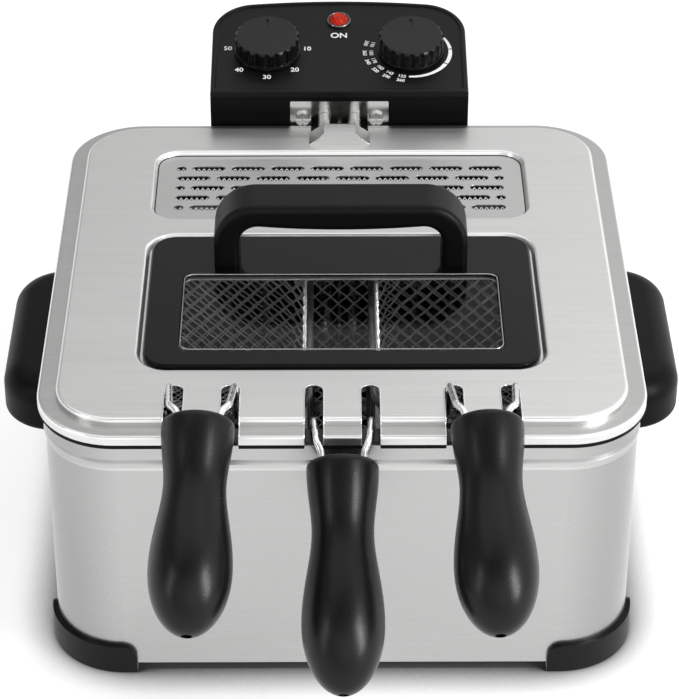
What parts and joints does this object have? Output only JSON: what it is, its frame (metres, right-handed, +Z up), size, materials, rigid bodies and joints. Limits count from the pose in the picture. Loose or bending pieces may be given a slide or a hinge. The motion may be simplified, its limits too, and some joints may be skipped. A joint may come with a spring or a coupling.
{
  "type": "deep fryer",
  "caption": "Counter-top electric deep fryer with lift-off windowed lid, nested wire baskets, lift-out oil pot and a rear control unit carrying the heater.",
  "frame": {"origin": "on the worktop, under the middle of the whole object's plan: midway between the front grip's tip and the control unit's back", "axes": "+X to the right as seen from the grips, +Y from the grips to the control unit, +Z up"},
  "size_m": [0.319, 0.4478, 0.1723],
  "materials": {
    "housing_steel": "satin, brushed across",
    "lid_steel": "fine brushed across",
    "plain_steel": "mill finish",
    "screw_steel": "bright",
    "pot_enamel": "black enamel",
    "body_plastic": "satin black",
    "foot_plastic": "matt black",
    "knob_plastic": "satin black",
    "lid_plastic": "smooth black",
    "grip_plastic": "satin black",
    "window_glass": "clear",
    "seal_rubber": "matt black",
    "filter_steel": "woven wire",
    "heater_steel": "bright tube",
    "lamp_lens": "clear red",
    "lamp_chrome": "polished",
    "inner_plastic": "moulded black",
    "contact_brass": "plain",
    "shaft_steel": "turned",
    "basket_wire": "plated wire"
  },
  "bodies": {
    "housing": {"outer_housing": "housing_steel", "base_plate": "plain_steel", "foot_front_left": "foot_plastic", "foot_front_right": "foot_plastic", "foot_rear_left": "foot_plastic", "foot_rear_right": "foot_plastic", "foot_screws": "screw_steel", "side_handle_left": "body_plastic", "side_handle_right": "body_plastic", "side_handle_screws": "screw_steel", "guide_rail_left": "plain_steel", "guide_rail_right": "plain_steel"},
    "oil_pot": {"oil_pot": "pot_enamel"},
    "control_unit": {"control_housing": "body_plastic", "control_panel": "body_plastic", "timer_body": "inner_plastic", "thermostat_body": "inner_plastic", "thermal_cutout": "inner_plastic", "terminal_block": "inner_plastic", "safety_switch": "inner_plastic", "lamp_bezel": "lamp_chrome", "lamp_lens": "lamp_lens", "power_inlet": "inner_plastic", "inlet_pins": "contact_brass", "element_plate": "plain_steel", "element_screws": "screw_steel", "heating_element": "heater_steel", "thermostat_probe": "heater_steel", "element_straps": "plain_steel"},
    "timer_dial": {"timer_knob": "knob_plastic", "timer_shaft": "shaft_steel"},
    "temperature_dial": {"temperature_knob": "knob_plastic", "temperature_shaft": "shaft_steel"},
    "lid": {"lid_panel": "lid_steel", "lid_seal": "seal_rubber", "window_frame": "lid_plastic", "window_glass": "window_glass", "lid_handle": "lid_plastic", "lid_handle_screws": "screw_steel", "filter_mesh": "filter_steel", "filter_tray": "filter_steel"},
    "large_basket": {"large_basket_frame": "basket_wire", "large_basket_mesh": "basket_wire", "large_basket_sockets": "basket_wire"},
    "large_handle": {"large_basket_fork": "basket_wire", "large_basket_grip": "grip_plastic"},
    "small_basket_left": {"small_basket_left_frame": "basket_wire", "small_basket_left_mesh": "basket_wire", "small_basket_left_sockets": "basket_wire"},
    "small_handle_left": {"small_basket_left_fork": "basket_wire", "small_basket_left_grip": "grip_plastic"},
    "small_basket_right": {"small_basket_right_frame": "basket_wire", "small_basket_right_mesh": "basket_wire", "small_basket_right_sockets": "basket_wire"},
    "small_handle_right": {"small_basket_right_fork": "basket_wire", "small_basket_right_grip": "grip_plastic"}
  },
  "joints": [
    {"name": "pot_lift", "type": "slide", "parent": "housing", "child": "oil_pot", "axis": [0, 0, 1], "range_m": [0, 0.125]},
    {"name": "control_lift", "type": "slide", "parent": "oil_pot", "child": "control_unit", "axis": [0, 0, 1], "range_m": [0, 0.125]},
    {"name": "large_basket_lift", "type": "slide", "parent": "control_unit", "child": "large_basket", "axis": [0, 0, 1], "range_m": [0, 0.115]},
    {"name": "small_basket_left_lift", "type": "slide", "parent": "large_basket", "child": "small_basket_left", "axis": [0, 0, 1], "range_m": [0, 0.1]},
    {"name": "small_basket_right_lift", "type": "slide", "parent": "small_basket_left", "child": "small_basket_right", "axis": [0, 0, 1], "range_m": [0, 0.1]},
    {"name": "lid_lift", "type": "slide", "parent": "small_basket_right", "child": "lid", "axis": [0, 0, 1], "range_m": [0, 0.08]},
    {"name": "large_handle_lift", "type": "slide", "parent": "large_basket", "child": "large_handle", "axis": [0, 0, 1], "range_m": [0, 0.03]},
    {"name": "small_handle_left_lift", "type": "slide", "parent": "small_basket_left", "child": "small_handle_left", "axis": [0, 0, 1], "range_m": [0, 0.03]},
    {"name": "small_handle_right_lift", "type": "slide", "parent": "small_basket_right", "child": "small_handle_right", "axis": [0, 0, 1], "range_m": [0, 0.03]},
    {"name": "timer_turn", "type": "hinge", "parent": "control_unit", "child": "timer_dial", "pos_m": [-0.0375, 0.18117, 0.15849], "axis": [0, -0.1994, 0.9799], "range_deg": [-315, 0]},
    {"name": "temperature_turn", "type": "hinge", "parent": "control_unit", "child": "temperature_dial", "pos_m": [0.0375, 0.18117, 0.15849], "axis": [0, -0.1994, 0.9799], "range_deg": [-300, 0]}
  ]
}
